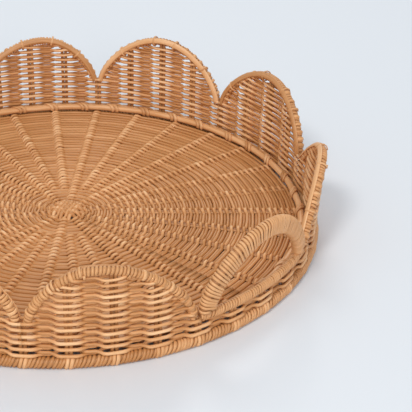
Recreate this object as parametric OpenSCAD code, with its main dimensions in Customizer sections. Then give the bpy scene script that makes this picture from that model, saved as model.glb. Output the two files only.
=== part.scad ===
// Round woven rattan serving tray with a scalloped wall.
// Two opposite scallops are open grip handles, on +X and on -X.
// Millimetres, +Z up. The origin is on the table plane, under the tray's centre.

/* [Tray] */
// Outside diameter of the base ring
tray_d = 420; // [390:5:460]
// Height of the scallop peaks above the table
peak_h = 88; // [80:1:94]
// Height of the peaks of the scallops beside a handle
side_peak_h = 82; // [76:1:88]
// Share of half a scallop that those peaks are moved away from the handle
side_peak_shift = 0.2; // [0:0.05:0.3]
// Height of the valleys between the scallops
valley_h = 42; // [40:1:44]
// Fullness of each arch: 1 is a plain sine arch, less is rounder
arch_fullness = 0.6; // [0.55:0.05:0.8]

/* [Base and floor] */
// Thickness of the wrapped base ring
base_ring_d = 9.6; // [9:0.2:10]
// Depth of the flat on the underside of the base ring
base_flat = 0.6; // [0.4:0.1:1]
// Diameter of the floor's spokes and weavers
floor_cane_d = 3.4; // [3:0.1:3.4]
// Number of spoke pairs at the floor's edge, a third of which reach the hub
spoke_pairs = 30; // [18:3:30]
// Rows of weaving in the floor
floor_rows = 35; // [32:1:36]
// Thickness of the ring around the floor
border_d = 6.2; // [5.8:0.2:6.6]
// Width of each tie around that ring
tie_w = 3.4; // [2.8:0.2:4]
// Thickness of each tie
tie_t = 0.7; // [0.5:0.1:0.8]
// Diameter of the hub where the long spokes meet
hub_d = 28; // [26:1:34]

/* [Wall] */
// Diameter of the upright stakes
stake_d = 3.7; // [3.3:0.1:3.7]
// Stake pairs to each scallop
stakes_per_scallop = 4; // [3:1:5]
// Diameter of the wall's weavers
weaver_d = 3.8; // [3.6:0.1:4.3]
// Distance between the two rows at the wall's foot
base_pitch = 5.6; // [5:0.1:6]
// Distance between two rows of a scallop's panel
panel_pitch = 4.95; // [4.5:0.05:5.6]

/* [Rims] */
// Diameter of the rod inside a scallop's rim
rim_core_d = 6.2; // [5.6:0.1:6.6]
// Thickness of the cane that is wound around rims, grips and rings
wrap_t = 1.1; // [0.9:0.1:1.2]
// Width of the flat cane strip along the inside of each rim
strip_w = 7; // [6:0.5:7]
// Thickness of that strip
strip_t = 1.4; // [1.2:0.1:1.6]

/* [Handles] */
// Height of the grip at the middle of a handle
grip_h = 79; // [74:1:84]
// Width of the wound grip band across its face
grip_w = 15; // [13:0.5:16]
// Thickness of the wound grip band
grip_t = 8.6; // [8:0.2:9]
// Thickness of the wound bar under the grip opening
bar_d = 7.6; // [7:0.2:8]

/* [Hidden] */
$fn = 48;
SCALLOP_COUNT = 10;
BASE_ROWS = 2;
GAP = 0.1;
WEB_T = 1.6;
SWEEP_SIDES = 12;
SWEEP_STEPS = 20;
RATTAN = "#d3a070";
CANE = "#dcae80";
ROD = "#c08a58";

// Scallop 0 and the one opposite are the handles, the others have a woven panel
HANDLES = [["right", 0], ["left", SCALLOP_COUNT / 2]];
function is_handle(i) = i % (SCALLOP_COUNT / 2) == 0;
PANELS = [for (i = [0 : SCALLOP_COUNT - 1]) if (!is_handle(i)) i];
scallop_angle = 360 / SCALLOP_COUNT;

// The spokes' top and the base ring's top are level, and everything above starts there
seat_z = base_ring_d - base_flat;
base_ring_r = (tray_d - base_ring_d) / 2;
base_ring_z = base_ring_d / 2 - base_flat;

// Wall: a layer of weaving outside the stakes, flush with the base ring, and one inside them
outer_weave_r = (tray_d - weaver_d) / 2;
stake_r = outer_weave_r - (weaver_d + stake_d) / 2 - GAP;
inner_weave_r = stake_r - (weaver_d + stake_d) / 2 - GAP;
row_0_z = seat_z + weaver_d / 2 + GAP;
base_top_z = row_0_z + (BASE_ROWS - 1) * base_pitch + weaver_d / 2;
panel_row_0_z = row_0_z + BASE_ROWS * base_pitch;
panel_rows = ceil((peak_h - panel_row_0_z) / panel_pitch);
panel_half = scallop_angle / 2 - arc_degrees(GAP);

// Floor: a layer of weaving over the spokes and one under them
spoke_z = seat_z - floor_cane_d / 2;
tie_d = border_d + 2 * tie_t;
border_r = inner_weave_r - (weaver_d + tie_d) / 2 - GAP;
border_z = seat_z + tie_d / 2 + GAP;
floor_r = border_r - tie_d / 2 - GAP;
floor_row_0_r = (hub_d + floor_cane_d) / 2 + GAP;
floor_pitch = (floor_r - floor_cane_d / 2 - floor_row_0_r) / (floor_rows - 1);
spoke_end_r = base_ring_r - base_ring_d / 2 - GAP;
short_spoke_r = spoke_pairs * 2 * floor_cane_d / (2 * PI) + 3;

// Rims over the panels, grips and bars at the handles. Beside a handle, a rim comes down lower
rim_d = rim_core_d + 2 * wrap_t;
rim_foot_z = valley_h - rim_d / 2;
low_foot_z = panel_row_0_z + panel_pitch / 2;
rim_half = scallop_angle / 2 - arc_degrees(rim_d / 2 + GAP);
bar_z = base_top_z + bar_d / 2 + GAP;
grip_foot_z = bar_z + bar_d / 2 + GAP;
grip_peak_z = grip_h - grip_w / 2;
grip_half = scallop_angle / 2 - arc_degrees(grip_w / 2 + GAP);
grip_rod_d = (grip_w - 2 * wrap_t) / 2 - 2 * GAP;

// Angle that a length takes along the circle of stakes
function arc_degrees(length) = length / stake_r * 180 / PI;

// An arch is [half angle, heights of its two feet, height of its peak, place of its peak]. Places
// run over it from -1 to 1
GRIP_ARCH = [grip_half, [grip_foot_z, grip_foot_z], grip_peak_z, 0];
function rim_foot(neighbour) = is_handle(neighbour) ? low_foot_z : rim_foot_z;
function rim_peak_h(i) = is_handle(i - 1) || is_handle(i + 1) ? side_peak_h : peak_h;
function rim_peak_s(i) = is_handle(i - 1) ? side_peak_shift : is_handle(i + 1) ? -side_peak_shift : 0;
function rim_arch(i) =
    [rim_half, [rim_foot(i - 1), rim_foot(i + 1)], rim_peak_h(i) - rim_d / 2, rim_peak_s(i)];
function arch_foot(arch, s) = arch[1][s < arch[3] ? 0 : 1];
function from_peak(arch, s) = (s - arch[3]) / (s < arch[3] ? 1 + arch[3] : 1 - arch[3]);
function arch_z(arch, s) = let (foot = arch_foot(arch, s))
    foot + (arch[2] - foot) * pow(max(cos(90 * from_peak(arch, s)), 0), arch_fullness);
function arch_u(arch, s) = arch[0] * s * PI / 180 * stake_r;
function outward(arch, s) = [cos(arch[0] * s), sin(arch[0] * s), 0];
function arch_point(arch, s) = stake_r * outward(arch, s) + [0, 0, arch_z(arch, s)];
function unit(v) = v / norm(v);
function step_down(s) = max(s - 0.005, -1);
function step_up(s) = min(s + 0.005, 1);
function arch_along(arch, s) = unit(arch_point(arch, step_up(s)) - arch_point(arch, step_down(s)));
function arch_slope(arch, s) = (arch_z(arch, step_up(s)) - arch_z(arch, step_down(s)))
    / (arch_u(arch, step_up(s)) - arch_u(arch, step_down(s)));

// Stations along an arch, closer together near its steep feet
STATIONS = [for (i = [0 : SWEEP_STEPS]) sin(90 * (2 * i / SWEEP_STEPS - 1))];

// Round-ended section, w wide along the wall and t thick through it, moved by shift along the wall
// and by inset towards the tray's middle
function section(arch, s, w, t, shift, inset) =
    let (out = outward(arch, s), across = cross(arch_along(arch, s), out), p = arch_point(arch, s))
    [for (j = [0 : SWEEP_SIDES - 1]) let (a = 360 * (j + 0.5) / SWEEP_SIDES)
        p + across * (shift + sign(cos(a)) * (w - t) / 2 + t / 2 * cos(a))
            + out * (t / 2 * sin(a) - inset)];

function side_faces(first, flip) = [for (i = [0 : SWEEP_STEPS - 1], j = [0 : SWEEP_SIDES - 1])
    let (k = (j + 1) % SWEEP_SIDES, a = first + i * SWEEP_SIDES, b = a + SWEEP_SIDES)
    flip ? [a + j, b + j, b + k, a + k] : [a + j, a + k, b + k, b + j]];

// Solid rod along an arch
module arch_rod(arch, w, t, shift = 0, inset = 0) {
    last = SWEEP_STEPS * SWEEP_SIDES;
    polyhedron(
        points = [for (s = STATIONS) each section(arch, s, w, t, shift, inset)],
        faces = [
            each side_faces(0, false),
            [for (j = [SWEEP_SIDES - 1 : -1 : 0]) j],
            [for (j = [0 : SWEEP_SIDES - 1]) last + j]
        ]
    );
}

// Sleeve of the given wall thickness along an arch
module arch_sleeve(arch, w, t, wall) {
    inner = (SWEEP_STEPS + 1) * SWEEP_SIDES;
    last = SWEEP_STEPS * SWEEP_SIDES;
    polyhedron(
        points = [
            for (s = STATIONS) each section(arch, s, w, t, 0, 0),
            for (s = STATIONS) each section(arch, s, w - 2 * wall, t - 2 * wall, 0, 0)
        ],
        faces = [
            each side_faces(0, false),
            each side_faces(inner, true),
            for (j = [0 : SWEEP_SIDES - 1]) let (k = (j + 1) % SWEEP_SIDES)
                [j, inner + j, inner + k, k],
            for (j = [0 : SWEEP_SIDES - 1]) let (k = (j + 1) % SWEEP_SIDES)
                [last + j, last + k, last + inner + k, last + inner + j]
        ]
    );
}

// Profile of weaving seen end on: round strands side by side, joined by a thin web
module strands(rows, pitch, d) {
    for (i = [0 : rows - 1]) translate([i * pitch, 0]) circle(d = d);
    translate([0, -WEB_T / 2]) square([(rows - 1) * pitch, WEB_T]);
}

// Profile of the two layers of wall weaving, standing upright
module wall_profile(z, rows, pitch) {
    for (r = [inner_weave_r, outer_weave_r])
        translate([r, z]) rotate(90) strands(rows, pitch, weaver_d);
}

// Part of a ring, spread equally to both sides of +X
module arc_extrude(half) {
    rotate(-half) rotate_extrude(angle = 2 * half) children();
}

// Space under a rim, through the whole wall
module under_arch(arch) {
    clear = rim_d / 2 + 5 * GAP;
    reach = tray_d / 4;
    under = [for (s = STATIONS) let (m = arch_along(arch, s), p = arch_point(arch, s))
        [p[1] + clear * m[2], max(p[2] - clear * norm([m[0], m[1]]), arch_foot(arch, s) - GAP)]];
    translate([tray_d / 4, 0, 0]) rotate([90, 0, 90]) linear_extrude(tray_d / 2)
        polygon([
            [reach, 0],
            [reach, arch_foot(arch, 1) - GAP],
            for (i = [SWEEP_STEPS : -1 : 0]) under[i],
            [-reach, arch_foot(arch, -1) - GAP],
            [-reach, 0]
        ]);
}

module base_ring_rod() {
    color(ROD) rotate_extrude() translate([base_ring_r, base_ring_z])
        circle(d = base_ring_d - 2 * wrap_t - 4 * GAP);
}

// The wound cane is worn flat where it stands on the table
module base_ring_winding() {
    color(CANE) rotate_extrude() difference() {
        translate([base_ring_r, base_ring_z]) circle(d = base_ring_d);
        translate([base_ring_r, base_ring_z]) circle(d = base_ring_d - 2 * wrap_t - 2 * GAP);
        translate([0, -base_ring_d]) square([tray_d, base_ring_d]);
    }
}

// One pair of spokes that runs out along +X from start_r
module spoke_pair(start_r) {
    for (side = [-1, 1])
        translate([start_r, side * (floor_cane_d + GAP) / 2, spoke_z]) rotate([0, 90, 0])
            cylinder(h = spoke_end_r - start_r, d = floor_cane_d - GAP);
}

module long_spokes() {
    color(ROD) for (i = [0 : 3 : spoke_pairs - 1])
        rotate(scallop_angle / 2 + i * 360 / spoke_pairs) spoke_pair(hub_d / 2);
}

module short_spokes() {
    color(ROD) for (i = [0 : spoke_pairs - 1]) if (i % 3 != 0)
        rotate(scallop_angle / 2 + i * 360 / spoke_pairs) spoke_pair(short_spoke_r);
}

module floor_weave(z) {
    color(RATTAN) rotate_extrude() for (i = [0 : floor_rows - 1])
        translate([floor_row_0_r + i * floor_pitch, z]) circle(d = floor_cane_d);
}

module floor_weave_upper() {
    floor_weave(seat_z + floor_cane_d / 2);
}

module floor_weave_lower() {
    floor_weave(spoke_z - floor_cane_d);
}

// Low domed button where the long spokes cross
module hub() {
    dome_h = seat_z + floor_cane_d;
    inner_r = hub_d / 2 - GAP;
    crown = 0.8 * floor_cane_d;
    color(RATTAN) rotate_extrude() union() {
        translate([0, spoke_z - 1.5 * floor_cane_d])
            square([inner_r, dome_h - crown - spoke_z + 1.5 * floor_cane_d]);
        translate([0, dome_h - crown]) square([inner_r - crown, crown]);
        translate([inner_r - crown, dome_h - crown]) intersection() {
            circle(r = crown);
            square(crown);
        }
    }
}

module floor_border_rod() {
    color(RATTAN) rotate_extrude() translate([border_r, border_z]) circle(d = border_d - 2 * GAP);
}

// Ties hold the ring around the floor down, one beside each pair of stakes
module floor_border_ties() {
    count = SCALLOP_COUNT * stakes_per_scallop;
    half = tie_w / border_r * 90 / PI;
    color(CANE) for (i = [0 : count - 1])
        rotate((i + 0.5) * 360 / count) arc_extrude(half) translate([border_r, border_z]) difference() {
            circle(d = tie_d);
            circle(d = border_d);
        }
}

// Top of a stake at an angle from the middle of its rim, just under it
function stake_top(arch, angle) = abs(angle) > rim_half - arc_degrees(rim_d / 2 + stake_d)
    ? arch_foot(arch, angle) - GAP
    : let (s = angle / rim_half, m = abs(arch_slope(arch, s)))
        arch_z(arch, s) - rim_d / 2 * sqrt(1 + m * m) - stake_d / 2 * m - GAP;

// Stakes stand in pairs; those under a grip opening stop at the bar
module stakes() {
    side_angle = arc_degrees((stake_d + GAP) / 2);
    pitch = scallop_angle / stakes_per_scallop;
    color(ROD) for (i = [0 : SCALLOP_COUNT - 1], j = [0 : stakes_per_scallop - 1], side = [-1, 1]) {
        angle = j * pitch - scallop_angle / 2 + side * side_angle;
        inside = angle > -scallop_angle / 2;
        scallop = inside ? i : i - 1;
        from_middle = inside ? angle : angle + scallop_angle;
        top = is_handle(scallop) ? base_top_z : stake_top(rim_arch(scallop), from_middle);
        rotate(i * scallop_angle + angle) translate([stake_r, 0, seat_z + GAP])
            cylinder(h = top - seat_z - GAP, d = stake_d);
    }
}

module wall_base_weave() {
    color(RATTAN) rotate_extrude() wall_profile(row_0_z, BASE_ROWS, base_pitch);
}

module panel_weave(i) {
    color(RATTAN) rotate(i * scallop_angle) intersection() {
        arc_extrude(panel_half) wall_profile(panel_row_0_z, panel_rows, panel_pitch);
        under_arch(rim_arch(i));
    }
}

module rim_rod(i) {
    d = rim_core_d - 2 * GAP;
    color(ROD) rotate(i * scallop_angle) arch_rod(rim_arch(i), d, d);
}

module rim_winding(i) {
    color(CANE) rotate(i * scallop_angle) arch_sleeve(rim_arch(i), rim_d, rim_d, wrap_t);
}

module rim_strip(i) {
    color(RATTAN) rotate(i * scallop_angle)
        arch_rod(rim_arch(i), strip_w, strip_t, inset = (rim_d + strip_t) / 2 + GAP);
}

module grip_rods(i) {
    for (side = [-1, 1])
        color(ROD) rotate(i * scallop_angle)
            arch_rod(GRIP_ARCH, grip_rod_d, grip_t - 2 * wrap_t - 2 * GAP, side * (grip_rod_d / 2 + GAP));
}

module grip_winding(i) {
    color(CANE) rotate(i * scallop_angle) arch_sleeve(GRIP_ARCH, grip_w, grip_t, wrap_t);
}

module bar_rod(i) {
    color(ROD) rotate(i * scallop_angle) arc_extrude(panel_half) translate([stake_r, bar_z])
        circle(d = bar_d - 2 * wrap_t - 2 * GAP);
}

module bar_winding(i) {
    color(CANE) rotate(i * scallop_angle) arc_extrude(panel_half) translate([stake_r, bar_z])
        difference() {
            circle(d = bar_d);
            circle(d = bar_d - 2 * wrap_t);
        }
}

base_ring_rod();
base_ring_winding();
long_spokes();
short_spokes();
floor_weave_upper();
floor_weave_lower();
hub();
floor_border_rod();
floor_border_ties();
stakes();
wall_base_weave();
for (i = PANELS) {
    panel_weave(i);
    rim_rod(i);
    rim_winding(i);
    rim_strip(i);
}
for (h = HANDLES) {
    grip_rods(h[1]);
    grip_winding(h[1]);
    bar_rod(h[1]);
    bar_winding(h[1]);
}
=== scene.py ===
"""Looks of the woven rattan serving tray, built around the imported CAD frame.

Each strand of cane is swept as a tube of its own: twined weavers pass over and under the spokes
and stakes, and wound cane runs round the rims, grips, bars and base ring. Lengths are in metres,
angles in radians from +X, and the places come from the frame's boxes.
"""

import math

import bpy
import numpy as np
from mathutils import Matrix, Vector


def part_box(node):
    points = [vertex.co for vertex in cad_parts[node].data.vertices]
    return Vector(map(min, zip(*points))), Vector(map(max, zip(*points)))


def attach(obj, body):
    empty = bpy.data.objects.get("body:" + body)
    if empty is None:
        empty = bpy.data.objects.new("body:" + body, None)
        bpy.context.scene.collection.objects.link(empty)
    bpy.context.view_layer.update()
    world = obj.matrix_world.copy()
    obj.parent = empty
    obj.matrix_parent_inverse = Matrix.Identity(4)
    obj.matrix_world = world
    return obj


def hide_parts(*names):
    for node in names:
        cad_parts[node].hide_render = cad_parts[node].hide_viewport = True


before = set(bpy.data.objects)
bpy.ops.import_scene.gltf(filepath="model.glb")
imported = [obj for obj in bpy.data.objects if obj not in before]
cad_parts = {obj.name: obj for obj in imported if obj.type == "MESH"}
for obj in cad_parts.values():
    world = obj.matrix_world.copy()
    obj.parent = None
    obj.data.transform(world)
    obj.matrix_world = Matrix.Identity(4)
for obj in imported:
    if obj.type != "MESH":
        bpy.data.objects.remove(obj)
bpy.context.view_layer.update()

# ---------------------------------------------------------------- sizes

MM = 0.001
TURN = 2 * math.pi

SCALLOPS = 10
SCALLOP = TURN / SCALLOPS
STAKE_STEP = SCALLOP / 4
SPOKE_STEP = TURN / 30
LONG_SPOKE_STEP = TURN / 10
PANELS = (1, 2, 3, 4, 6, 7, 8, 9)
HANDLES = (("right", 0), ("left", 5))
ARCH_FULLNESS = 0.6
CANE_SHARE = 0.87


def low(node):
    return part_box(node)[0]


def high(node):
    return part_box(node)[1]


def middle_z(node):
    return (low(node).z + high(node).z) / 2


def ring_r(node):
    """Radius of the centreline of a node that is a round rod bent round the tray's axis."""
    return high(node).x - (high(node).z - low(node).z) / 2


# Wall. The rows lie closer together and get thinner higher up: pitch loss and thinning are for
# each row. A pair's strands are spread apart between the stakes, and at a stake the outer one is
# lower by the slope, so that daylight shows through.
STAKE_R = ring_r("bar_rod_right")
STAKE_D = 3.0 * MM
WALL_CANE_D = 2.75 * MM
WALL_PITCH = 5.6 * MM
WALL_PITCH_LOSS = 0.1 * MM
WALL_ROW_0 = low("wall_base_weave").z + 1.9 * MM
BASE_ROWS = 2
WALL_LAYER = (STAKE_D + WALL_CANE_D) / 2
WALL_SPREAD = 1.25 * MM
WALL_SLOPE = 0.7 * MM
WALL_THINNING = 0.016
WALL_FLAT = 6 * MM
WALL_BEND = 13.5 * MM
PANEL_TOP_GAP = 4.5 * MM
ROW_END_GAP = 2.2 * MM
ROW_END_LIFT = 1.6 * MM
ROW_END_REACH = 0.05
LOOP_W = 2.8 * MM
LOOP_T = 1.4 * MM

# Rims. The CAD's are a little thicker (box) than the ones drawn here.
RIM_BOX_D = 8.4 * MM
RIM_D = 7.2 * MM
RIM_FOOT_Z = low("rim_winding_2").z
RIM_PEAK_Z = high("rim_winding_2").z - RIM_BOX_D / 2
LOW_FOOT_Z = low("rim_winding_1").z
SIDE_PEAK_Z = high("rim_winding_1").z - RIM_BOX_D / 2
SIDE_PEAK_SHIFT = 0.2
RIM_HALF = SCALLOP / 2 - (RIM_BOX_D / 2 + 0.1 * MM) / STAKE_R
RIM_CANE_W = 2.7 * MM
RIM_CANE_T = 1.5 * MM
STRIP_W = 5.0 * MM
STRIP_T = 1.8 * MM
RIM_TIE_D = RIM_D + 2.9 * MM
RIM_TIE_W = 2.2 * MM
RIM_TIE_T = 1.0 * MM
RIM_TIES = (0.2, 0.38, 0.56, 0.8)

# Grips and bars
GRIP_W = 15 * MM
GRIP_T = 8.6 * MM
GRIP_FOOT_Z = high("bar_winding_right").z + 0.1 * MM
GRIP_PEAK_Z = high("grip_winding_right").z - GRIP_W / 2
GRIP_HALF = SCALLOP / 2 - (GRIP_W / 2 + 0.1 * MM) / STAKE_R
GRIP_CANE_W = 2.6 * MM
GRIP_CANE_T = 1.2 * MM
BAR_CANE_W = 2.3 * MM
BAR_D = high("bar_winding_right").z - low("bar_winding_right").z
BAR_Z = middle_z("bar_rod_right")

# Base ring
BASE_D = 9.6 * MM
BASE_R = high("base_ring_winding").x - BASE_D / 2
BASE_TOP_Z = high("base_ring_winding").z
BASE_Z = BASE_TOP_Z - BASE_D / 2
BASE_CANE_W = 2.9 * MM
BASE_CANE_T = 1.5 * MM
DOWN_W = 2.9 * MM
DOWN_T = 1.7 * MM

# Floor. Its last row lies 1.4 mm further out than the CAD's, close to the ring around it.
FLOOR_CANE_D = 2.8 * MM
FLOOR_Z = (high("floor_weave_upper").z + low("floor_weave_lower").z) / 2
FLOOR_LAYER = 2.4 * MM
FLOOR_SWAY = 1.3 * MM
FLOOR_FLAT = 0.6 * MM
FLOOR_BEND = 5 * MM
FLOOR_R = high("floor_weave_upper").x + 1.4 * MM
HUB_R = high("hub").x
FLOOR_ROWS = 35
FLOOR_PITCH = (FLOOR_R - HUB_R - FLOOR_CANE_D) / (FLOOR_ROWS - 1)
SPOKE_W = 2.6 * MM
SPOKE_T = 2.2 * MM
SPOKE_END_R = BASE_R - BASE_D / 2
SHORT_SPOKE_R = 37 * MM
HUB_STRANDS = 5
HUB_PITCH = 3.5 * MM
HUB_TURN = 0.35
HUB_CANE_W = 3.3 * MM
HUB_CANE_T = 3.1 * MM

# Ring between floor and wall
BORDER_R = ring_r("floor_border_rod")
BORDER_Z = middle_z("floor_border_rod")
BORDER_D = high("floor_border_rod").z - low("floor_border_rod").z
TIE_GAP = 2.1 * MM
TIE_SLANT = 3.6 * MM
TIE_W = 3.2 * MM
TIE_T = 1.5 * MM


# ---------------------------------------------------------------- strands

class Strands:
    """Gathers swept strands of cane, and makes them one mesh."""

    def __init__(self, seed, sides=8):
        self.rng = np.random.default_rng(seed)
        self.sides = sides
        self.points = []
        self.quads = []
        self.caps = []
        self.grain = []
        self.tint_and_painted_shade = []
        self.count = 0

    def add(self, path, up, width, thick, tone_and_painted_shade=0.0):
        """Sweeps an oval, width across and thick along up, over path. Both are (n, 3) arrays.
        The last argument darkens the cane and may differ along the path. The weaves use it for
        painted shade where strands dip between rods and painted light on their crests; the grip,
        bar and base-ring windings use it to make the whole winding darker."""
        along = np.gradient(path, axis=0)
        along /= np.linalg.norm(along, axis=1)[:, None]
        up = up - along * (up * along).sum(1)[:, None]
        up /= np.linalg.norm(up, axis=1)[:, None]
        side = np.cross(along, up)
        run = np.concatenate([[0], np.cumsum(np.linalg.norm(np.diff(path, axis=0), axis=1))])
        width = np.broadcast_to(np.asarray(width, float), (len(path),))
        thick = np.broadcast_to(np.asarray(thick, float), (len(path),))
        angle = TURN * (np.arange(self.sides) + 0.5) / self.sides
        c, s = np.cos(angle), np.sin(angle)
        ring = (path[:, None]
                + side[:, None] * (width[:, None] / 2 * c)[..., None]
                + up[:, None] * (thick[:, None] / 2 * s)[..., None])
        n, k = len(path), self.sides
        first = self.count
        self.points.append(ring.reshape(-1, 3))
        grain = np.empty((n, k, 3))
        grain[..., 0] = run[:, None] + self.rng.uniform(0, 50)
        grain[..., 1] = c
        grain[..., 2] = s
        self.grain.append(grain.reshape(-1, 3))
        tone_and_painted_shade = np.broadcast_to(np.asarray(tone_and_painted_shade, float), (n,))
        self.tint_and_painted_shade.append(np.repeat(self.rng.uniform(0.1, 0.8) - tone_and_painted_shade, k))
        i, j = np.meshgrid(np.arange(n - 1), np.arange(k), indexing="ij")
        a = first + i * k + j
        b = first + i * k + (j + 1) % k
        self.quads.append(np.stack([a, a + k, b + k, b], -1).reshape(-1, 4))
        self.caps.append(first + np.arange(k))
        self.caps.append(first + (n - 1) * k + np.arange(k)[::-1])
        self.count += n * k

    def piece(self, name, slot, *nodes):
        """Makes the mesh a piece that stands for these CAD nodes."""
        points = np.concatenate(self.points)
        quads = np.concatenate(self.quads)
        corners = np.concatenate([quads.ravel(), *self.caps])
        starts = np.concatenate([np.arange(len(quads)) * 4,
                                 len(quads) * 4 + np.arange(len(self.caps)) * self.sides])
        mesh = bpy.data.meshes.new(name)
        mesh.vertices.add(len(points))
        mesh.vertices.foreach_set("co", points.astype(np.float32).ravel())
        mesh.loops.add(len(corners))
        mesh.loops.foreach_set("vertex_index", corners.astype(np.int32))
        mesh.polygons.add(len(starts))
        mesh.polygons.foreach_set("loop_start", starts.astype(np.int32))
        smooth = np.arange(len(starts)) < len(quads)
        mesh.polygons.foreach_set("use_smooth", smooth)
        mesh.update(calc_edges=True)
        mesh.validate()
        grain = mesh.attributes.new("grain", "FLOAT_VECTOR", "POINT")
        grain.data.foreach_set("vector", np.concatenate(self.grain).astype(np.float32).ravel())
        tint_and_painted_shade = mesh.attributes.new("tint_and_painted_shade", "FLOAT", "POINT")
        tint_and_painted_shade.data.foreach_set("value", np.concatenate(self.tint_and_painted_shade).astype(np.float32))
        return place(mesh, name, slot, *nodes)


def place(mesh, name, slot, *nodes):
    piece = bpy.data.objects.new(name, mesh)
    bpy.context.scene.collection.objects.link(piece)
    mesh.materials.append(MATERIALS[slot])
    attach(piece, "root")
    if nodes:
        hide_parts(*nodes)
    return piece


def round_z(r, a, z):
    """Points at radius r, angle a and height z, any of which may be an array."""
    r, a, z = np.broadcast_arrays(r, a, z)
    return np.stack([r * np.cos(a), r * np.sin(a), z], -1)


def outward(a):
    return round_z(1.0, a, 0.0)


def upward(n):
    return np.tile([0.0, 0.0, 1.0], (n, 1))


def wobble(seed, a, size):
    """Waviness of hand work along a ring, at angle a. The same seed always gives the same waves."""
    rng = np.random.default_rng(seed)
    waves = [rng.uniform(0.4, 1) * np.sin(n * a + rng.uniform(0, TURN)) for n in (2, 5, 11, 19, 31)]
    return size * sum(waves) / 2


def smooth_step(x):
    x = np.clip(x, 0, 1)
    return x * x * (3 - 2 * x)


def weave_angles(first, last, step, phase, bend):
    """Angles to sample a twined strand at: close together within bend of each stake or spoke,
    where the strand curves, and only once in between."""
    near = np.array([0, 0.22, 0.4, 0.58, 0.78, 1]) * min(bend / step, 0.5)
    share = np.unique(np.round(np.concatenate([near, [0.5], 1 - near[1:]]), 4))
    rods = np.arange(math.floor((first - phase) / step) - 1, math.ceil((last - phase) / step) + 1)
    a = (phase + (rods[:, None] + share[None]) * step).ravel()
    inside = a[(a > first + 0.06 * step) & (a < last - 0.06 * step)]
    return np.concatenate([[first], inside, [last]])


def twine(a, r, step, phase, strand, flat, bend):
    """How far one strand of a twined pair is through the weave, and how far along it, at angle a
    on radius r. Both run from -1 to 1. Rods, the stakes or spokes, lie every step from phase. The
    strand bends from flat to bend away from each rod, and swaps sides with its partner between
    two rods."""
    u = (a - phase) / step + strand
    rod = np.round(u)
    away = np.abs(u - rod) * step * r
    bend = np.minimum(bend, step * r / 2)
    swap = smooth_step((away - flat) / (bend - flat))
    return (1 - swap) * (1 - 2 * (rod % 2)), -swap * (1 - 2 * (np.floor(u) % 2))


# ---------------------------------------------------------------- materials

def cane_material(name, dark, mid, light, roughness):
    """Rattan cane. Colour differs from strand to strand and along each, with fine lengthwise
    fibres that also raise the surface."""
    mat = bpy.data.materials.new(name)
    mat.use_nodes = True
    nt = mat.node_tree
    shader = nt.nodes["Principled BSDF"]
    grain = nt.nodes.new("ShaderNodeAttribute")
    grain.attribute_name = "grain"
    tint_and_painted_shade = nt.nodes.new("ShaderNodeAttribute")
    tint_and_painted_shade.attribute_name = "tint_and_painted_shade"

    def noise(scale, size, detail):
        stretch = nt.nodes.new("ShaderNodeMapping")
        stretch.inputs["Scale"].default_value = scale
        nt.links.new(grain.outputs["Vector"], stretch.inputs["Vector"])
        tex = nt.nodes.new("ShaderNodeTexNoise")
        tex.inputs["Scale"].default_value = size
        tex.inputs["Detail"].default_value = detail
        nt.links.new(stretch.outputs["Vector"], tex.inputs["Vector"])
        return tex.outputs["Fac"]

    def add(layer, base, weight):
        """layer * weight + base, where base may be a number."""
        node = nt.nodes.new("ShaderNodeMath")
        node.operation = "MULTIPLY_ADD"
        node.inputs[1].default_value = weight
        nt.links.new(layer, node.inputs[0])
        if isinstance(base, float):
            node.inputs[2].default_value = base
        else:
            nt.links.new(base, node.inputs[2])
        return node.outputs[0]

    patches = noise((28, 0.35, 0.35), 1.0, 2)
    streaks = noise((45, 2.2, 2.2), 1.0, 3)
    fibres = noise((120, 9, 9), 1.0, 2)
    # The per-point attribute read here holds each strand's random tone and, in the weaves, painted
    # shade: darker where strands dip between rods, lighter on their crests.
    value = add(tint_and_painted_shade.outputs["Fac"], -0.52, 0.6)
    value = add(patches, value, 0.6)
    value = add(streaks, value, 0.55)
    value = add(fibres, value, 0.2)

    ramp = nt.nodes.new("ShaderNodeValToRGB")
    ramp.color_ramp.elements[0].position = 0.1
    ramp.color_ramp.elements[0].color = (*dark, 1)
    ramp.color_ramp.elements[1].position = 0.9
    ramp.color_ramp.elements[1].color = (*light, 1)
    centre = ramp.color_ramp.elements.new(0.5)
    centre.color = (*mid, 1)
    nt.links.new(value, ramp.inputs["Fac"])
    nt.links.new(ramp.outputs["Color"], shader.inputs["Base Color"])

    rough = nt.nodes.new("ShaderNodeMapRange")
    rough.inputs["To Min"].default_value = roughness - 0.08
    rough.inputs["To Max"].default_value = roughness + 0.12
    nt.links.new(streaks, rough.inputs["Value"])
    nt.links.new(rough.outputs["Result"], shader.inputs["Roughness"])

    bump = nt.nodes.new("ShaderNodeBump")
    bump.inputs["Strength"].default_value = 0.35
    bump.inputs["Distance"].default_value = 0.0003
    nt.links.new(add(fibres, streaks, 0.6), bump.inputs["Height"])
    nt.links.new(bump.outputs["Normal"], shader.inputs["Normal"])
    return mat


MATERIALS = {
    "rattan_rod": cane_material(
        "rattan_rod", (0.34, 0.13, 0.04), (0.54, 0.25, 0.09), (0.70, 0.37, 0.155), 0.5),
    "floor_cane": cane_material(
        "floor_cane", (0.53, 0.22, 0.065), (0.73, 0.355, 0.14), (0.92, 0.56, 0.29), 0.42),
    "wall_cane": cane_material(
        "wall_cane", (0.53, 0.22, 0.065), (0.73, 0.355, 0.14), (0.92, 0.56, 0.29), 0.42),
    "wrapping_cane": cane_material(
        "wrapping_cane", (0.50, 0.21, 0.065), (0.73, 0.365, 0.15), (0.92, 0.56, 0.30), 0.42),
}


# ---------------------------------------------------------------- floor

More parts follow.
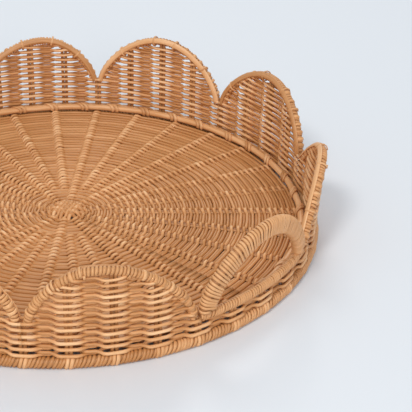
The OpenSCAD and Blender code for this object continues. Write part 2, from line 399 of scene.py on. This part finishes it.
def floor_weave():
    """Twined rows. The strand that starts on top makes one piece and its partner the other."""
    for strand, node in enumerate(("floor_weave_upper", "floor_weave_lower")):
        cane = Strands(10 + strand)
        for row in range(FLOOR_ROWS):
            r = HUB_R + FLOOR_CANE_D / 2 + row * FLOOR_PITCH
            step = SPOKE_STEP if r > SHORT_SPOKE_R else LONG_SPOKE_STEP
            a = weave_angles(0, TURN, step, SCALLOP / 2, FLOOR_BEND / r)
            over, along = twine(a, r, step, SCALLOP / 2, strand, FLOOR_FLAT, FLOOR_BEND)
            from_hub = smooth_step((r - 20 * MM) / (60 * MM))
            lift = FLOOR_LAYER * (0.7 + 0.3 * from_hub) * over + 0.5 * MM * along
            seed = [row, strand]
            path = round_z(r + FLOOR_SWAY * along + wobble([row, 7], a, 0.35 * MM)
                           + wobble(seed, a, 0.12 * MM),
                           a, FLOOR_Z + lift + wobble(seed, a, 0.15 * MM))
            size = FLOOR_CANE_D * (1 + wobble([row, strand, 3], a, 0.07))
            # Painted shade and light: the cane is darker midway between spokes, where the pair
            # crosses low, and lighter at each spoke, where the top strand's crest rises.
            cane.add(path, upward(len(a)), size, size * 0.96, 0.45 - 0.6 * np.abs(over))
        cane.piece(node, "floor_cane", node)


def spokes(name, numbers, start_r):
    cane = Strands(20 + len(numbers))
    r = np.linspace(start_r, SPOKE_END_R, 30)
    for i in numbers:
        a = SCALLOP / 2 + i * SPOKE_STEP
        for side in (-1, 1):
            shift = side * SPOKE_W / 2 + wobble([i, side + 1], r * 20, 0.15 * MM)
            path = (r[:, None] * outward(a) + shift[:, None] * outward(a + math.pi / 2)
                    + [0, 0, FLOOR_Z])
            cane.add(path, upward(len(r)), SPOKE_W, SPOKE_T)
    cane.piece(name, "rattan_rod", name)


def hub():
    """The long spokes' middles, threaded through each other at a right angle."""
    cane = Strands(31, sides=10)
    t = np.linspace(-1, 1, 41)
    for direction in (0, 1):
        for k in range(HUB_STRANDS):
            shift = (k - (HUB_STRANDS - 1) / 2) * HUB_PITCH
            reach = math.sqrt(max(HUB_R**2 - shift**2, 0)) + 2 * MM
            u = t * reach
            weave = np.cos(math.pi * (u / HUB_PITCH + k + direction)) * 1.1 * MM
            drop = 3.0 * MM * smooth_step((np.abs(u) / reach - 0.55) / 0.45)
            z = FLOOR_Z + 3.6 * MM + weave - drop
            u, v = (u, np.full_like(u, shift))[::1 if direction == 0 else -1]
            path = np.stack([u * math.cos(HUB_TURN) - v * math.sin(HUB_TURN),
                             u * math.sin(HUB_TURN) + v * math.cos(HUB_TURN), z], -1)
            cane.add(path, upward(len(t)), HUB_CANE_W, HUB_CANE_T)
    cane.piece("hub", "floor_cane", "hub")


def border():
    """Ring between floor and wall: a smooth rod, with a slanted tie of two strands midway between
    each two pairs of stakes."""
    rod = Strands(41, sides=14)
    a = np.linspace(0, TURN, 361)
    rod.add(round_z(BORDER_R + wobble(43, a, 0.4 * MM), a, BORDER_Z), upward(len(a)),
            BORDER_D * 0.94, BORDER_D * 0.9)
    rod.piece("floor_border_rod", "floor_cane", "floor_border_rod")
    ties = Strands(42)
    turn = np.linspace(-0.2, 1.2, 25) * math.pi
    reach = BORDER_D / 2 + 0.45 * MM
    for k in range(int(round(TURN / STAKE_STEP))):
        middle = (k + 0.5) * STAKE_STEP + wobble([k, 4], 1.0, 0.01)
        for side in (-1, 1):
            shift = side * TIE_GAP - TIE_SLANT * np.cos(turn)
            r = BORDER_R + wobble(43, middle, 0.4 * MM) - reach * np.cos(turn)
            z = BORDER_Z + reach * np.sin(turn)
            a = middle + shift / BORDER_R
            up = -outward(a) * np.cos(turn)[:, None] + upward(len(a)) * np.sin(turn)[:, None]
            ties.add(round_z(r, a, z), up, TIE_W, TIE_T)
    ties.piece("floor_border_ties", "wrapping_cane", "floor_border_ties")


# ---------------------------------------------------------------- scallops

# Hand-made differences between the scallops: how far a peak is raised and leans outward, its
# place along the arch, and how pointed it is
PEAK_SHIFT = {1: 0.0}
PEAK_FULLNESS = {1: 1.0}
PEAK_RISE = {1: -3.8 * MM, 6: -1 * MM}
PEAK_LEAN = {1: 5.5 * MM, 2: 1.5 * MM, 4: 2 * MM, 6: 2 * MM, 9: -1 * MM}
# How far the flat strip inside a rim is turned up from facing the tray's middle
STRIP_TILT = {1: 0.8, 9: 0}


def is_handle(i):
    return i % 5 == 0


def wall_r(i, a, z):
    """Radius of the wall's middle in scallop i, at angle a from its centre and height z."""
    rise = np.clip((z - LOW_FOOT_Z) / (RIM_PEAK_Z - LOW_FOOT_Z), 0, 1)
    width = np.cos(np.clip(a / SCALLOP, -0.5, 0.5) * math.pi)
    return STAKE_R + PEAK_LEAN.get(i, 0) * rise * width


class Arch:
    """The curve of a rim or grip over scallop i, with places along it given by length from its
    start. Its feet are the heights of its two ends, and shift moves its peak sideways."""

    def __init__(self, i, half, feet, peak, shift=0, fullness=ARCH_FULLNESS):
        self.i, self.half, self.feet, self.peak = i, half, feet, peak
        self.shift, self.fullness = shift, fullness
        s = np.sin(math.pi / 2 * np.linspace(-1, 1, 401))
        self.angles = half * s
        z = self.height(s)
        self.points = round_z(wall_r(i, self.angles, z), self.angles + i * SCALLOP, z)
        steps = np.linalg.norm(np.diff(self.points, axis=0), axis=1)
        self.run = np.concatenate([[0], np.cumsum(steps)])
        self.length = self.run[-1]

    def height(self, s):
        before = s < self.shift
        foot = np.where(before, self.feet[0], self.feet[1])
        t = (s - self.shift) / np.where(before, 1 + self.shift, 1 - self.shift)
        rise = np.maximum(np.cos(math.pi / 2 * t), 0) ** self.fullness
        return foot + (self.peak - foot) * rise

    def edges(self, z):
        """Angles from the scallop's centre between which the arch is above height z."""
        ends = []
        for side, foot in zip((-1, 1), self.feet):
            share = min(max((z - foot) / (self.peak - foot), 0), 1)
            t = side * 2 / math.pi * math.acos(share ** (1 / self.fullness))
            ends.append(self.half * (self.shift + t * (1 - side * self.shift)))
        return ends

    def point(self, run):
        return np.stack([np.interp(run, self.run, self.points[:, k]) for k in range(3)], -1)

    def at(self, run):
        """Points, directions along the arch, outward and across it (away from the opening)."""
        points = self.point(run)
        along = self.point(run + 0.5 * MM) - self.point(run - 0.5 * MM)
        along /= np.linalg.norm(along, axis=1)[:, None]
        out = outward(np.interp(run, self.run, self.angles) + self.i * SCALLOP)
        out = out - along * (out * along).sum(1)[:, None]
        out /= np.linalg.norm(out, axis=1)[:, None]
        return points, along, out, np.cross(out, along)


def rim_arch(i):
    before, after = is_handle(i - 1), is_handle(i + 1)
    feet = (LOW_FOOT_Z if before else RIM_FOOT_Z, LOW_FOOT_Z if after else RIM_FOOT_Z)
    peak = SIDE_PEAK_Z if before or after else RIM_PEAK_Z
    shift = PEAK_SHIFT.get(i, SIDE_PEAK_SHIFT * (before - after))
    return Arch(i, RIM_HALF, feet, peak + PEAK_RISE.get(i, 0), shift,
                PEAK_FULLNESS.get(i, ARCH_FULLNESS))


def stadium(turn, width, thick):
    """Point on a round-ended outline, and its normal, at each share of a full turn."""
    flat = (width - thick) / 2
    corner = TURN * thick / 4
    total = 4 * flat + 2 * corner
    p = np.mod(turn, 1) * total
    x = np.select(
        [p < flat, p < flat + corner, p < 3 * flat + corner, p < 3 * flat + 2 * corner],
        [p, flat + thick / 2 * np.sin((p - flat) / (thick / 2)), 2 * flat + corner - p,
         -flat - thick / 2 * np.sin((p - 3 * flat - corner) / (thick / 2))],
        p - total)
    y = np.select(
        [p < flat, p < flat + corner, p < 3 * flat + corner, p < 3 * flat + 2 * corner],
        [np.full_like(p, thick / 2), thick / 2 * np.cos((p - flat) / (thick / 2)),
         np.full_like(p, -thick / 2), -thick / 2 * np.cos((p - 3 * flat - corner) / (thick / 2))],
        thick / 2)
    nx = np.where(np.abs(x) > flat, (x - np.sign(x) * flat) / (thick / 2), 0)
    ny = y / (thick / 2)
    return x, y, nx, ny


def wind(cane, centre, across, out, run, seed, width, thick, cane_w, cane_t, per_turn=10,
         slant=0, loose=0.07, tone_and_painted_shade=0.0):
    """Winds one strand round a rod. centre, across and out are functions of length along it.
    loose is the share of turns with a gap after them, and CANE_SHARE the part of each turn's
    width that the cane fills."""
    rng = np.random.default_rng(seed)
    turns = int(round((run[1] - run[0]) / cane_w))
    gaps = 1 + rng.uniform(-0.12, 0.12, turns)
    gaps += (rng.uniform(size=turns) < loose) * rng.uniform(0.2, 0.5, turns)
    edges = np.concatenate([[0], np.cumsum(gaps)])
    edges = run[0] + edges / edges[-1] * (run[1] - run[0])
    share = np.linspace(0, turns, turns * per_turn + 1)
    place_on_rod = np.interp(share, np.arange(turns + 1), edges)
    x, y, nx, ny = stadium(share, width - cane_t, thick - cane_t)
    place_on_rod = np.clip(place_on_rod + slant * x, *run)
    points = centre(place_on_rod)
    a, o = across(place_on_rod), out(place_on_rod)
    path = points + a * x[:, None] + o * y[:, None]
    up = a * nx[:, None] + o * ny[:, None]
    bulge = 1 + np.interp(share, np.arange(turns + 1), rng.uniform(-0.1, 0.1, turns + 1))
    cane.add(path, up, cane_w * CANE_SHARE, cane_t * bulge, tone_and_painted_shade)


def wind_arch(cane, arch, seed, width, thick, cane_w, cane_t, run=None, per_turn=10, loose=0.07,
              tone_and_painted_shade=0.0):
    wind(cane,
         lambda t: arch.at(t)[0],
         lambda t: arch.at(t)[3],
         lambda t: arch.at(t)[2],
         run or (0, arch.length), seed, width, thick, cane_w, cane_t, per_turn, loose=loose,
         tone_and_painted_shade=tone_and_painted_shade)


def rim(i):
    arch = rim_arch(i)
    centre, along, out, across = arch.at(np.linspace(0, arch.length, 90))

    rod = Strands(100 + i, sides=12)
    core = RIM_D - 2 * RIM_CANE_T + 0.4 * MM
    rod.add(centre, out, core, core)
    rod.piece(f"rim_rod_{i}", "rattan_rod", f"rim_rod_{i}")

    winding = Strands(120 + i)
    wind_arch(winding, arch, [i, 5], RIM_D, RIM_D, RIM_CANE_W, RIM_CANE_T, loose=0.2)
    rng = np.random.default_rng([i, 6])
    for at in RIM_TIES:
        start = (at + rng.uniform(-0.05, 0.05)) * arch.length
        wind_arch(winding, arch, [i, 7], RIM_TIE_D, RIM_TIE_D, RIM_TIE_W, RIM_TIE_T,
                  (start, start + RIM_TIE_W + 0.1 * MM))
    winding.piece(f"rim_winding_{i}", "wrapping_cane", f"rim_winding_{i}")

    strip = Strands(140 + i, sides=10)
    tilt = STRIP_TILT.get(i, 0.45)
    lean = -out * math.cos(tilt) + across * math.sin(tilt)
    path = centre + lean * (RIM_D / 2 + 0.1 * MM)
    strip.add(path, lean, STRIP_W, STRIP_T)
    strip.piece(f"rim_strip_{i}", "wrapping_cane", f"rim_strip_{i}")


def row_z(row):
    """Height of a row of wall weaving. The rows lie closer together higher up."""
    return WALL_ROW_0 + row * WALL_PITCH - row * (row - 1) / 2 * WALL_PITCH_LOSS


def wall_row(cane, i, row, first, last, ends=(0, 0)):
    """A twined row of wall weaving in scallop i, between two angles from its centre. ends says
    how far each end lifts towards the rim."""
    for strand in (0, 1):
        a = weave_angles(first, last, STAKE_STEP, 0, WALL_BEND / STAKE_R)
        full = a + i * SCALLOP
        over, rise = twine(full, STAKE_R, STAKE_STEP, 0, strand, WALL_FLAT, WALL_BEND)
        thin = 1 - WALL_THINNING * row
        z = (row_z(row) + WALL_SPREAD * thin * rise - WALL_SLOPE * over
             + wobble([row, 11], full, 0.3 * MM))
        z = z + ends[0] * smooth_step(1 - (a - first) / ROW_END_REACH)
        z = z + ends[1] * smooth_step(1 - (last - a) / ROW_END_REACH)
        r = (wall_r(i, a, z) + WALL_LAYER * over + 0.6 * MM * rise
             + wobble([row, strand, 2], full, 0.2 * MM))
        size = WALL_CANE_D * (thin + wobble([row, strand, 4], full, 0.07))
        # Painted shade and light: the cane is darker midway between stakes, where the pair crosses,
        # and lighter where it bulges past each stake.
        cane.add(round_z(r, full, z), outward(full), size, size * 0.95, 0.35 - 0.65 * over ** 2)


def turn_back(cane, arch, a, seed):
    """A row's strand goes round the rim and back into the panel."""
    rng = np.random.default_rng(seed)
    at = np.interp(a, arch.angles, arch.run)
    centre, along, out, across = arch.at(np.array([at + rng.uniform(-0.4, 0.4) * MM]))
    turn = np.linspace(-0.78, 0.78, 19) * math.pi
    reach = RIM_D / 2 - 0.15 * MM
    lag = along * (0.5 * MM * np.sin(turn / 2) * rng.uniform(-1, 1))[:, None]
    away = across * np.cos(turn)[:, None] + out * np.sin(turn)[:, None]
    cane.add(centre + away * reach + lag, away, LOOP_W, LOOP_T)


def wall_base():
    cane = Strands(200)
    for row in range(BASE_ROWS):
        wall_row(cane, 0, row, -math.pi, math.pi)
    cane.piece("wall_base_weave", "wall_cane", "wall_base_weave")


def panel(i):
    cane = Strands(210 + i)
    arch = rim_arch(i)
    row = BASE_ROWS
    while row_z(row) < arch.peak - PANEL_TOP_GAP:
        z = row_z(row)
        low_sides = [z < foot + 1 * MM for foot in arch.feet]
        first, last = arch.edges(z + ROW_END_GAP)
        lift = [0 if low_side else ROW_END_LIFT for low_side in low_sides]
        first = -SCALLOP / 2 if low_sides[0] else first
        last = SCALLOP / 2 if low_sides[1] else last
        wall_row(cane, i, row, first, last, lift)
        for k, a in enumerate((first, last)):
            if not low_sides[k] and abs(a) > 0.3 * RIM_HALF:
                turn_back(cane, arch, a, [i, row, k])
        row += 1
    cane.piece(f"panel_weave_{i}", "wall_cane", f"panel_weave_{i}")


def stakes():
    """Pairs of upright stakes, up to the rim or, under a handle's opening, up to its bar."""
    cane = Strands(230)
    arches = [rim_arch(i) for i in range(SCALLOPS)]
    for k in range(int(round(TURN / STAKE_STEP))):
        for side in (-1, 1):
            full = k * STAKE_STEP - SCALLOP / 2 + side * (STAKE_D / 2 + 0.05 * MM) / STAKE_R
            i = int(round(full / SCALLOP)) % SCALLOPS
            a = (full + SCALLOP / 2) % SCALLOP - SCALLOP / 2
            top = BAR_Z if is_handle(i) else float(arches[i].height(np.clip(a / RIM_HALF, -1, 1)))
            z = np.linspace(BASE_TOP_Z - 1 * MM, top, 16)
            around = full + wobble([k, side + 2], z * 30, 0.1 * MM) / STAKE_R
            cane.add(round_z(wall_r(i, a, z), around, z), outward(around), STAKE_D, STAKE_D)
    cane.piece("stakes", "rattan_rod", "stakes")


# ---------------------------------------------------------------- handles and base ring

def handle(side, i):
    arch = Arch(i, GRIP_HALF, (GRIP_FOOT_Z, GRIP_FOOT_Z), GRIP_PEAK_Z)
    centre, along, out, across = arch.at(np.linspace(0, arch.length, 90))
    rods = Strands(300 + i, sides=12)
    rod_d = (GRIP_W - 2 * GRIP_CANE_T) / 2
    rod_t = GRIP_T - 2 * GRIP_CANE_T + 0.3 * MM
    for shift in (-1, 1):
        rods.add(centre + across * shift * rod_d / 2, out, rod_d, rod_t)
    rods.piece(f"grip_rods_{side}", "rattan_rod", f"grip_rods_{side}")

    grip = Strands(310 + i)
    wind_arch(grip, arch, [i, 8], GRIP_W, GRIP_T, GRIP_CANE_W, GRIP_CANE_T, per_turn=24,
              loose=0.35, tone_and_painted_shade=0.25)
    grip.piece(f"grip_winding_{side}", "wrapping_cane", f"grip_winding_{side}")

    half = SCALLOP / 2 - 1.5 * MM / STAKE_R
    rod = Strands(320 + i, sides=12)
    a = np.linspace(-half, half, 40) + i * SCALLOP
    core = BAR_D - 2 * GRIP_CANE_T + 0.3 * MM
    rod.add(round_z(STAKE_R, a, BAR_Z), outward(a), core, core)
    rod.piece(f"bar_rod_{side}", "rattan_rod", f"bar_rod_{side}")
    bar = Strands(330 + i)
    wind_ring(bar, STAKE_R, BAR_Z, BAR_D, i * SCALLOP - half, i * SCALLOP + half, [i, 9],
              BAR_CANE_W, GRIP_CANE_T)
    bar.piece(f"bar_winding_{side}", "wrapping_cane", f"bar_winding_{side}")


def wind_ring(cane, r, z, d, first, last, seed, cane_w, cane_t, slant=0.25):
    """Winds a strand round a rod that is bent round the tray's axis."""
    wind(cane,
         lambda t: round_z(r, t / r, z),
         lambda t: upward(len(t)),
         lambda t: outward(t / r),
         (first * r, last * r), seed, d, d, cane_w, cane_t, slant=slant, loose=0.3,
         tone_and_painted_shade=0.35)


def base_ring():
    rod = Strands(340, sides=12)
    a = np.linspace(0, TURN, 241)
    core = BASE_D - 2 * BASE_CANE_T + 0.4 * MM
    rod.add(round_z(BASE_R, a, BASE_Z), outward(a), core, core)
    rod.piece("base_ring_rod", "rattan_rod", "base_ring_rod")
    cane = Strands(341)
    gap = 1.6 * MM / BASE_R
    for k in range(int(round(TURN / STAKE_STEP))):
        first = k * STAKE_STEP - SCALLOP / 2
        wind_ring(cane, BASE_R, BASE_Z, BASE_D, first + gap, first + STAKE_STEP - gap, [342, k],
                  BASE_CANE_W, BASE_CANE_T, 0.4)
        down_strands(cane, first)
    piece = cane.piece("base_ring_winding", "wrapping_cane", "base_ring_winding")
    flatten(piece.data)


def down_strands(cane, a):
    """Two strands come out from under the lowest row at a pair of stakes and go down over the
    ring."""
    turn = np.linspace(-0.45, 0.72, 17) * math.pi
    reach = BASE_D / 2 - 0.55 * MM
    for side in (-1, 1):
        around = a + (side * 1.5 * MM + 0.9 * MM * np.sin(turn)) / BASE_R
        path = round_z(BASE_R + reach * np.cos(turn), around, BASE_Z + reach * np.sin(turn))
        up = outward(around) * np.cos(turn)[:, None] + upward(len(turn)) * np.sin(turn)[:, None]
        cane.add(path, up, DOWN_W, DOWN_T)


def flatten(mesh):
    """The winding is worn flat where it stands on the table."""
    co = np.empty(len(mesh.vertices) * 3, np.float32)
    mesh.vertices.foreach_get("co", co)
    co[2::3] = np.maximum(co[2::3], 0)
    mesh.vertices.foreach_set("co", co)
    mesh.update()


# ---------------------------------------------------------------- stage, light and camera

def plain_material(name, colour, roughness):
    mat = bpy.data.materials.new(name)
    mat.use_nodes = True
    shader = mat.node_tree.nodes["Principled BSDF"]
    shader.inputs["Base Color"].default_value = (*colour, 1)
    shader.inputs["Roughness"].default_value = roughness
    return mat


def stage():
    mesh = bpy.data.meshes.new("table")
    reach = 6.0
    corners = [(-reach, -reach, 0), (reach, -reach, 0), (reach, reach, 0), (-reach, reach, 0)]
    mesh.from_pydata(corners, [], [(0, 1, 2, 3)])
    table = bpy.data.objects.new("table", mesh)
    bpy.context.scene.collection.objects.link(table)
    mesh.materials.append(plain_material("pale_table", (0.755, 0.762, 0.79), 0.7))


# The camera looks over scallop 9, which has the right handle beside it. The turn is its angle
# round the tray from +X, and the reach its distance from the tray's axis.
CAMERA_TURN = math.radians(-44.51)
CAMERA_REACH = 0.9391
CAMERA_HEIGHT = 0.5485
CAMERA_PITCH = math.radians(29.72)
CAMERA_YAW = math.radians(4.90)
CAMERA_ROLL = math.radians(0.64)
CAMERA_LENS = 112.6
CAMERA_SHIFT_X = 0.105


def camera():
    cam = bpy.data.objects.new("camera", bpy.data.cameras.new("camera"))
    bpy.context.scene.collection.objects.link(cam)
    cam.data.lens = CAMERA_LENS
    cam.data.sensor_width = 36
    cam.data.shift_x = CAMERA_SHIFT_X
    cam.data.clip_start = 0.01
    back = Vector((-math.cos(CAMERA_TURN), -math.sin(CAMERA_TURN), 0))
    right = Vector((-math.sin(CAMERA_TURN), math.cos(CAMERA_TURN), 0))
    ahead = right * math.sin(CAMERA_YAW) + back * math.cos(CAMERA_YAW)
    sideways = right * math.cos(CAMERA_YAW) - back * math.sin(CAMERA_YAW)
    ahead = ahead * math.cos(CAMERA_PITCH) - Vector((0, 0, math.sin(CAMERA_PITCH)))
    over = sideways.cross(ahead)
    x = sideways * math.cos(CAMERA_ROLL) + over * math.sin(CAMERA_ROLL)
    y = over * math.cos(CAMERA_ROLL) - sideways * math.sin(CAMERA_ROLL)
    place_at = -back * CAMERA_REACH + Vector((0, 0, CAMERA_HEIGHT))
    cam.matrix_world = Matrix((
        (x.x, y.x, -ahead.x, place_at.x),
        (x.y, y.y, -ahead.y, place_at.y),
        (x.z, y.z, -ahead.z, place_at.z),
        (0, 0, 0, 1)))
    bpy.context.scene.camera = cam
    return right, back


def area_light(name, position, size, power, colour=(1, 1, 1)):
    light = bpy.data.objects.new(name, bpy.data.lights.new(name, "AREA"))
    bpy.context.scene.collection.objects.link(light)
    light.data.shape = "DISK"
    light.data.size = size
    light.data.energy = power
    light.data.color = colour
    light.location = position
    light.rotation_euler = (-Vector(position)).to_track_quat("-Z", "Y").to_euler()


def lights(right, back):
    world = bpy.data.worlds.new("studio")
    world.use_nodes = True
    world.node_tree.nodes["Background"].inputs["Color"].default_value = (0.86, 0.94, 1.0, 1)
    world.node_tree.nodes["Background"].inputs["Strength"].default_value = 0.62
    bpy.context.scene.world = world
    up = Vector((0, 0, 1))
    area_light("key", -right * 1.2 - back * 2.0 + up * 2.9, 0.9, 51, (0.98, 0.99, 0.97))
    area_light("rear", back * 2.2 + right * 0.3 + up * 1.8, 1.0, 15)
    area_light("front", right * 0.6 - back * 2.8 + up * 1.4, 1.2, 25)


bpy.context.scene.view_settings.view_transform = "Standard"
floor_weave()
spokes("long_spokes", range(0, 30, 3), HUB_R)
spokes("short_spokes", [k for k in range(30) if k % 3], SHORT_SPOKE_R)
hub()
border()
wall_base()
for number in PANELS:
    panel(number)
    rim(number)
stakes()
for side, number in HANDLES:
    handle(side, number)
base_ring()
stage()
lights(*camera())
